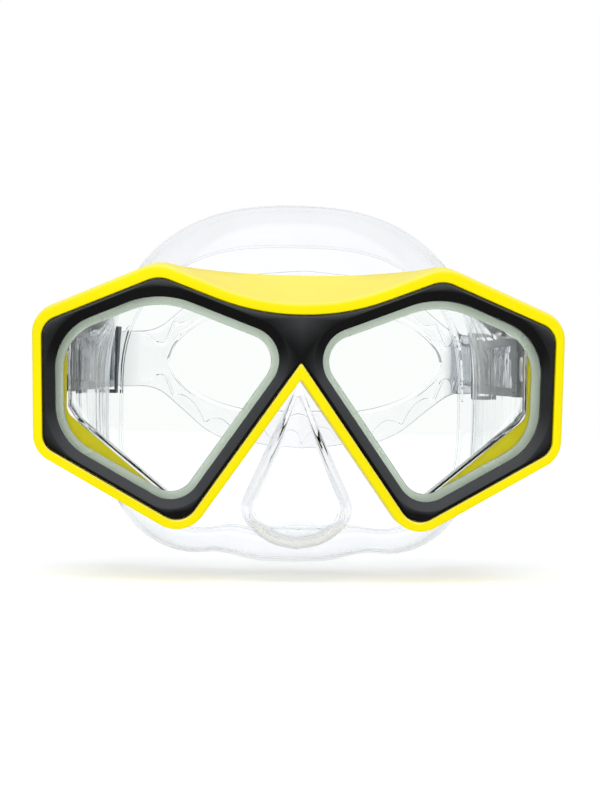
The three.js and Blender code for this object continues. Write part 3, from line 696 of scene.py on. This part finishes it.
def skirt_grid():
    """Points of the skirt's outer face, from the neck behind the glass to the edge of the lip."""
    roots = root_points()
    x, z, depth, lip = seal_points()
    start = NECK_END + SWEEP * roots[:, 0]
    rows = [row(roots, NECK_START), row(roots, (NECK_START + NECK_END) / 2), row(roots, NECK_END)]
    for along in np.linspace(0.04, 1, 24):
        spread = 1 - (1 - along) ** WALL_CURVE
        rows.append(np.column_stack([
            roots[:, 0] + (x - roots[:, 0]) * spread,
            start + (depth - start) * along,
            roots[:, 1] + (z - roots[:, 1]) * spread,
        ]))
    distance = np.hypot(x, z)
    for along in np.linspace(0.08, 1, 8):
        inward = 1 - lip * along / distance
        rolled = depth + LIP_ROLL * np.sin(along * math.pi / 2)
        rows.append(np.column_stack([x * inward, rolled, z * inward]))
    return np.array(rows)


def skirt_wall_part():
    outer = skirt_grid()
    normal = grid_normals(outer)
    normal[:, [0, -1], 0] = 0  # so that the two halves meet on the middle plane
    thickness = np.full(len(outer), WALL)
    thickness[:EDGE_ROWS] = np.linspace(NECK_THICKNESS, WALL, EDGE_ROWS)
    thickness[-EDGE_ROWS:] = np.linspace(WALL, LIP_THICKNESS, EDGE_ROWS)
    thickness[-3:] = LIP_EDGE_THICKNESS
    inner = outer + normal * thickness[:, None, None]
    half = combined([
        loft(outer), loft(inner[::-1]), loft([inner[0], outer[0]]), loft([outer[-1], inner[-1]]),
    ])
    return combined([half, reflected(half)])


def nose_half_outline(inset):
    """The pocket's outline from in front, from its top to the middle of its foot."""
    arc = 13
    half = [
        [0, NOSE_TOP - 2 * inset, 0.1], [NOSE_HALF_TOP, NOSE_TOP - 2 * inset, 0.1],
        [NOSE_HALF_BOTTOM - inset, NOSE_SHOULDER, NOSE_CORNER],
        [10, -49.1 + inset, NOSE_FOOT_CURVE], [0, NOSE_BOTTOM + inset, 0.1],
    ]
    beyond_middle = [-5, -20, 0.1]  # closes the loop, and is cut off again
    line = rounded(half + [beyond_middle], arc)
    line = line[(line[:, 0] > -0.01)]
    keep = [0] + [i for i in range(1, len(line)) if np.linalg.norm(line[i] - line[i - 1]) > 0.02]
    line = resampled(line[keep], 60)
    line[0, 0] = line[-1, 0] = 0
    return line


def nose_part(inset, back):
    """The pocket's outside, or with an inset its hollow, as a closed solid that ends at a depth."""
    outline = nose_half_outline(inset)
    x, z = outline.T
    front_z = np.maximum(z, -43.0 + inset)
    lower = np.clip((-34 - z) / 16, 0, 1)
    front = np.column_stack([x * (0.66 + 0.04 * lower), front_z + (z - front_z) * 0.12])
    share_down = np.clip(z / NOSE_BOTTOM, 0, 1)
    depth_front = NOSE_FRONT_TOP + (NOSE_FRONT_FOOT - NOSE_FRONT_TOP) * share_down + inset
    side_back = np.minimum(depth_front + NOSE_SIDE_ROUND, back - 1)
    rows = [np.column_stack([x, np.full(len(outline), float(back)), z])]
    for angle in np.linspace(0, 90, 13):
        c, s = math.cos(math.radians(angle)) ** 0.8, math.sin(math.radians(angle)) ** 0.8
        flat = front + (outline - front) * c
        depth = side_back + (depth_front - side_back) * s
        rows.append(np.column_stack([flat[:, 0], depth, flat[:, 1]]))
    for share in (0.3, 0.6, 0.85, 1.0):
        rows.append(np.column_stack([front[:, 0] * (1 - share), depth_front - 0.5 * share, front[:, 1]]))
    half = loft(rows)
    back_face = fill([rows[0]])
    return combined([half, reflected(half), back_face, reflected(back_face)])


def lip_bead_part():
    """The thin rolled bead on the inner edge of the lip."""
    line = skirt_grid()[-1]
    radius = 0.5
    inward = -line * [1, 0, 1] / np.hypot(line[:, 0], line[:, 2])[:, None]
    sections = [
        line + radius * (math.cos(angle) * inward + math.sin(angle) * np.array([0, 1, 0]))
        for angle in np.radians(np.arange(0, 360, 30))
    ]
    half = loft(np.array(sections).transpose(1, 0, 2), closed=True)
    return combined([half, reflected(half)])


def build_skirt():
    skirt = make("skirt_moulding", skirt_wall_part(), 50, SILICONE)
    boolean(skirt, make("nose_outside", nose_part(0, NOSE_OUTSIDE_BACK), 50), "UNION")
    boolean(skirt, make("nose_hollow", nose_part(NOSE_WALL, NOSE_BACK), 50), "DIFFERENCE")
    smooth(skirt.data, 42)
    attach(skirt, "mask_body")
    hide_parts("skirt")
    bead = make("skirt_lip_bead", lip_bead_part(), 50, STRAP_SILICONE)
    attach(bead, "mask_body")


# ---- strap ----
RIB_PITCH, SCALLOP_PITCH = 2.1, 12.5


def strap_to_mask(points):
    """Strap space to mask space. Its origin is between the pivots, and it tilts up at the back."""
    tilt = math.radians(STRAP_TILT)
    c, s = math.cos(tilt), math.sin(tilt)
    x, y, z = np.asarray(points, float).T
    return np.column_stack([x, PIVOT_DEPTH + c * y - s * z, PIVOT_Z + s * y + c * z])


def from_buckle(out, along):
    """A point in strap space, from how far out of the buckle and how far along it lies."""
    turn = math.radians(BUCKLE_TURN)
    c, s = math.cos(turn), math.sin(turn)
    return [PIVOT_X + out * c - along * s, out * s + along * c]


def smooth_line(points, per_span):
    """A Catmull-Rom curve through points."""
    points = np.asarray(points, float)
    ends = np.vstack([2 * points[0] - points[1], points, 2 * points[-1] - points[-2]])
    line = []
    for a, b, c, d in zip(ends, ends[1:], ends[2:], ends[3:]):
        square = 2 * a - 5 * b + 4 * c - d
        cube = 3 * b - a - 3 * c + d
        for t in np.linspace(0, 1, per_span, endpoint=False):
            line.append(0.5 * (2 * b + (c - a) * t + square * t**2 + cube * t**3))
    line.append(points[-1])
    return np.array(line)


def line_normals(line):
    tangent = np.gradient(line, axis=0)
    tangent /= np.linalg.norm(tangent, axis=1)[:, None]
    return np.column_stack([tangent[:, 1], -tangent[:, 0]])


def band_half_height(x):
    """Half the height of the strap's outline at a distance from the middle."""
    arc = 13
    half = [[0, 33.5, 0.1], [32, 31, 30], [55, 10.2, 15], [110, 9.4, 0.1]]
    below = [[110, 0, 0.1], [0, 0, 0.1]]  # closes the loop, and is cut off again
    edge = rounded(half + below, arc)[: len(half) * arc]
    return np.interp(x, edge[:, 0], edge[:, 1])


def hole_half_height(x):
    """Half the height of the hole between the strap's two arms, a rounded spindle."""
    reach, tallest, end_power, side_power = 50.5, 20.2, 2.6, 0.62
    inside = np.clip(1 - (np.abs(x) / reach) ** end_power, 0, 1)
    return tallest * inside**side_power


def smoothstep(value, low, high):
    t = np.clip((value - low) / (high - low), 0, 1)
    return t * t * (3 - 2 * t)


def strap_line():
    """The strap's middle line from above, from the +X buckle round the back to the -X buckle."""
    side = [from_buckle(-2.4, along) for along in (19.5, 33, 49, 65)]
    # x, y and how much of the back's sideways shift the point takes
    back = [[57, 77, 0.55], [46.5, 86.5, 0.8], [31, 91.8, 0.95], [15, 93.8, 1], [0, 94.3, 1]]
    back += [[-x, y, share] for x, y, share in back[-2::-1]]
    shifted = [[x + share * BACK_SHIFT, y] for x, y, share in back]
    opposite = [[-x, y] for x, y in side[::-1]]
    return resampled(smooth_line(side + shifted + opposite, 60), 300)


def band_levels(x, from_middle, along):
    """The strap's levels, each a height and a half thickness, and the hole's half height.

    x is measured sideways from the middle of the strap's back, from_middle from the mask's middle.
    The levels go from the strap's outer edge to its hole.
    """
    relief_height, rim_height = 0.55, 0.35
    outer = band_half_height(x)
    narrow = smoothstep(from_middle, 66.0, 67.5)
    outer = outer + (TAIL_HALF_WIDTH - outer) * narrow
    hole = hole_half_height(x)
    pad = 1 - smoothstep(x, 52, 63)  # 1 on the back's padded part, 0 on the tails
    cusp = np.abs(np.sin(math.pi * along / SCALLOP_PITCH)) ** 0.75
    room = np.maximum(outer - hole, 1)
    scallop = outer - pad * (1.8 + np.minimum(5.6, room * 0.4) * cusp) - (1 - pad)
    half_thick = STRAP_THICKNESS / 2
    step = relief_height * pad
    rim = rim_height * pad * smoothstep(hole, 0.5, 6)
    closed_hole = 1 - smoothstep(hole, 0, 3)
    levels = [
        (outer, np.full_like(x, 0.25)),
        (outer - 0.25, np.full_like(x, half_thick - 0.1)),
        (outer - 0.6, np.full_like(x, half_thick)),
        (scallop + 0.16, np.full_like(x, half_thick)),
        (scallop - 0.02, half_thick + step * 0.85),
        (scallop - 0.25, half_thick + step),
        ((scallop + hole) / 2, half_thick + step),
        (hole + 2.2 * pad, half_thick + step),
        (hole + 1.75 * pad, half_thick + step + rim),
        (hole + 0.7 * pad, half_thick + step + rim),
        (hole + 0.3 * pad, half_thick + step + rim * 0.6),
        (hole, 0.3 + (half_thick + step - 0.3) * closed_hole),
    ]
    return levels, hole


def band_part():
    """Both arms of the split strap, with scalloped relief and a rim round the hole."""
    rib_height = 0.22
    line = strap_line()
    normal = line_normals(line)
    x = np.abs(line[:, 0] - BACK_SHIFT)
    from_middle = np.abs(line[:, 0])
    along = distances(line)
    along -= along[int(np.argmin(x))]
    levels, hole = band_levels(x, from_middle, along)
    wave = 1 + np.sin(2 * math.pi * along / RIB_PITCH)
    ribs = rib_height * wave * smoothstep(from_middle, 67.5, 69)
    rows_out, rows_in = [], []
    for height, thick in levels:
        lift = thick + np.where(thick > 0.4, ribs, 0)
        for rows, sign in ((rows_out, 1), (rows_in, -1)):
            rows.append(np.column_stack([line + normal * (sign * lift)[:, None], height]))
    split = np.flatnonzero(hole > 0.01)
    first, last = split[0] - 1, split[-1] + 2
    parts = []
    for flip in (1, -1):
        outside = [r * [1, 1, flip] for r in rows_out]
        inside = [r * [1, 1, flip] for r in rows_in]
        parts.append(loft(outside))
        parts.append(loft(inside[::-1]))
        parts.append(loft([inside[0], outside[0]]))
        parts.append(loft([outside[-1][first:last], inside[-1][first:last]]))
        for end in (0, -1):
            ends_out = np.array([r[end] for r in outside])
            ends_in = np.array([r[end] for r in inside])
            parts.append(loft([ends_out, ends_in]))
    points, faces = combined(parts)
    return strap_to_mask(points), faces


def tail_part(end):
    """The tail on the +X side: round the roller and back along the strap's outside, with ribs."""
    rib_height, first_rib = 0.18, 8
    radius = ROLLER_RADIUS + GAP + STRAP_THICKNESS / 2
    lead = [ROLLER_OUT - radius, ROLLER_ALONG + 2.4]
    bend = []
    for degrees in np.linspace(-90, 90, 13):
        angle = math.radians(degrees)
        bend.append([ROLLER_OUT + radius * math.sin(angle), ROLLER_ALONG - radius * math.cos(angle)])
    run = [
        [ROLLER_OUT + radius, ROLLER_ALONG + 9], [ROLLER_OUT + radius - 0.6, 32],
        [0.2, 42], [-0.4, 50], [-0.5, end],
    ]
    line = resampled(smooth_line([lead] + bend + run, 24), 230)
    line[:, 1] = np.minimum(line[:, 1], end - 0.2)
    normal = -line_normals(line)
    travelled = distances(line)
    to_end = travelled[-1] - travelled
    tip = TAIL_HALF_WIDTH
    round_end = np.sqrt(np.maximum(tip**2 - (tip - to_end) ** 2, 0.02))
    half = np.where(to_end < tip, round_end, TAIL_HALF_WIDTH)
    thick = STRAP_THICKNESS / 2
    wave = 1 + np.sin(2 * math.pi * travelled / RIB_PITCH)
    tooth = rib_height * wave * smoothstep(to_end, 7, 9) * (travelled > first_rib)
    # shares of the half width and of the half thickness, and 1 where there are ribs
    shares = [(1.0, 0.25, 0), (0.97, 0.72, 0), (0.9, 1.0, 0), (0.82, 1.0, 1), (0.4, 1.0, 1)]
    section = [(-s, t, r) for s, t, r in shares] + [(s, t, r) for s, t, r in shares[::-1]]
    rows = []
    for share, level, ribbed in section:
        lift = thick * level + tooth * ribbed
        rows.append(np.column_stack([line + normal * lift[:, None], half * share]))
    for share, level, _ in section[::-1]:
        rows.append(np.column_stack([line - normal * (thick * level), half * share]))
    points, faces = loft(np.array(rows).transpose(1, 0, 2), closed=True, capped=True)
    turned = np.array([from_buckle(out, along) for out, along in points[:, :2]])
    return strap_to_mask(np.column_stack([turned, points[:, 2]])), faces


def build_strap():
    band = make("strap_band", band_part(), 38, STRAP_SILICONE)
    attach(band, "strap_assembly")
    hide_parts("head_strap")
    for side, part in (("left", tail_part(70)), ("right", reflected(tail_part(72)))):
        tail = make(f"strap_tail_{side}", part, 38, STRAP_SILICONE)
        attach(tail, "strap_assembly")


# ---- buckles and pins: the CAD solids with rounded edges ----
# Each node's start of name, its material and the width of its rounded edges in metres.
SMALL_PARTS = [
    ("buckle_body", SMOKE, 0.0004), ("strap_keeper", DARK, 0.0004), ("release_lever", SMOKE, 0.00025),
    ("strap_roller", SMOKE, 0.0002), ("pivot_washer", SMOKE, 0.0001), ("pivot_pin", STEEL, 0.0001),
    ("roller_axle", STEEL, 0.0001), ("lever_pin", STEEL, 0.0001), ("lever_spring", STEEL, 0.0001),
]


def soften(node, material, width):
    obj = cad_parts[node]
    obj.data.materials.clear()
    obj.data.materials.append(material)
    weld = obj.modifiers.new("weld", "WELD")
    weld.merge_threshold = 1e-6
    bevel = obj.modifiers.new("bevel", "BEVEL")
    bevel.width = width
    bevel.segments = 2
    bevel.limit_method = "ANGLE"
    bevel.angle_limit = math.radians(40)


def build_small_parts():
    for side in ("left", "right"):
        for start, material, width in SMALL_PARTS:
            soften(f"{start}_{side}", material, width)


# ---- studio ----
def build_floor():
    """A pale floor that gives off a little light, more with distance, so that no horizon shows."""
    size, height = 2.5, -0.0605
    near_glow, far_glow, glow_distance = 0.27, 0.46, 1.3
    material, tree, shader = new_material("pale_floor")
    set_base_colour(tree, shader, noise(tree, 3), (0.95, 0.95, 0.95), (0.97, 0.97, 0.97))
    shader.inputs["Roughness"].default_value = 0.9
    shader.inputs["Specular IOR Level"].default_value = 0.0
    shader.inputs["Emission Color"].default_value = (1, 1, 1, 1)
    place = tree.nodes.new("ShaderNodeTexCoord")
    distance = tree.nodes.new("ShaderNodeVectorMath")
    distance.operation = "LENGTH"
    tree.links.new(place.outputs["Object"], distance.inputs[0])
    glow = tree.nodes.new("ShaderNodeMapRange")
    glow.inputs["From Max"].default_value = glow_distance
    glow.inputs["To Min"].default_value = near_glow
    glow.inputs["To Max"].default_value = far_glow
    tree.links.new(distance.outputs["Value"], glow.inputs["Value"])
    tree.links.new(glow.outputs["Result"], shader.inputs["Emission Strength"])
    corners = [(-size, -size), (size, -size), (size, size), (-size, size)]
    mesh = bpy.data.meshes.new("floor")
    mesh.from_pydata([(x, y, height) for x, y in corners], [], [[0, 1, 2, 3]])
    mesh.materials.append(material)
    floor = bpy.data.objects.new("floor", mesh)
    bpy.context.scene.collection.objects.link(floor)


def build_world():
    """White in front and behind, softer grey to the sides, so that clear edges read as grey lines."""
    side_grey, white = (0.36, 0.38, 0.41), (1.0, 1.0, 1.0)
    world = bpy.data.worlds.new("studio")
    bpy.context.scene.world = world
    world.use_nodes = True
    tree = world.node_tree
    background = tree.nodes["Background"]
    place = tree.nodes.new("ShaderNodeTexCoord")
    split = tree.nodes.new("ShaderNodeSeparateXYZ")
    tree.links.new(place.outputs["Generated"], split.inputs["Vector"])
    surround = ramped(tree, absolute(tree, split.outputs["Y"]), side_grey, white, 0.25, 0.75)
    camera_ray = tree.nodes.new("ShaderNodeLightPath")
    mix = tree.nodes.new("ShaderNodeMix")
    mix.data_type = "RGBA"
    tree.links.new(camera_ray.outputs["Is Camera Ray"], mix.inputs["Factor"])
    tree.links.new(surround, mix.inputs[MIX_FIRST])
    mix.inputs[MIX_SECOND].default_value = (*white, 1)
    tree.links.new(mix.outputs[MIX_RESULT], background.inputs["Color"])
    background.inputs["Strength"].default_value = 1.0


def area_light(name, place, aim, size, power):
    data = bpy.data.lights.new(name, "AREA")
    data.shape = "RECTANGLE"
    data.size, data.size_y = size
    data.energy = power
    light = bpy.data.objects.new(name, data)
    bpy.context.scene.collection.objects.link(light)
    light.location = place
    light.rotation_euler = (Vector(aim) - Vector(place)).to_track_quat("-Z", "Y").to_euler()


def build_lights():
    area_light("top_softbox", (0, -0.25, 0.9), (0, -0.02, 0), (0.9, 0.7), 3.0)
    area_light("front_softbox", (-0.25, -1.1, 0.45), (0, 0, 0), (0.6, 0.6), 2.0)


def build_camera():
    data = bpy.data.cameras.new("camera")
    camera = bpy.data.objects.new("camera", data)
    bpy.context.scene.collection.objects.link(camera)
    bpy.context.scene.camera = camera
    distance, yaw, roll = 0.562, math.radians(2.8), math.radians(0.8)
    sensor, picture_height, millimetres_per_pixel = 36, 800, 0.309
    data.lens = distance * 1000 * sensor / (picture_height * millimetres_per_pixel)
    aim = Vector((-0.0003, -FACE_DEPTH / 1000, -0.0031))
    back = Vector((-math.sin(yaw), -math.cos(yaw), 0))
    camera.location = aim + back * distance
    turn = (-back).to_track_quat("-Z", "Y").to_matrix()
    camera.rotation_euler = (turn @ Matrix.Rotation(roll, 3, "Z")).to_euler()
    data.clip_start, data.clip_end = 0.01, 20


build_camera()
build_frame()
build_bezel()
build_lenses()
build_seat()
build_skirt()
build_strap()
build_small_parts()
build_floor()
build_world()
build_lights()
bpy.context.scene.view_settings.view_transform = "Standard"
bpy.context.scene.cycles.max_bounces = 32
bpy.context.scene.cycles.transmission_bounces = 32
bpy.context.scene.cycles.transparent_max_bounces = 32
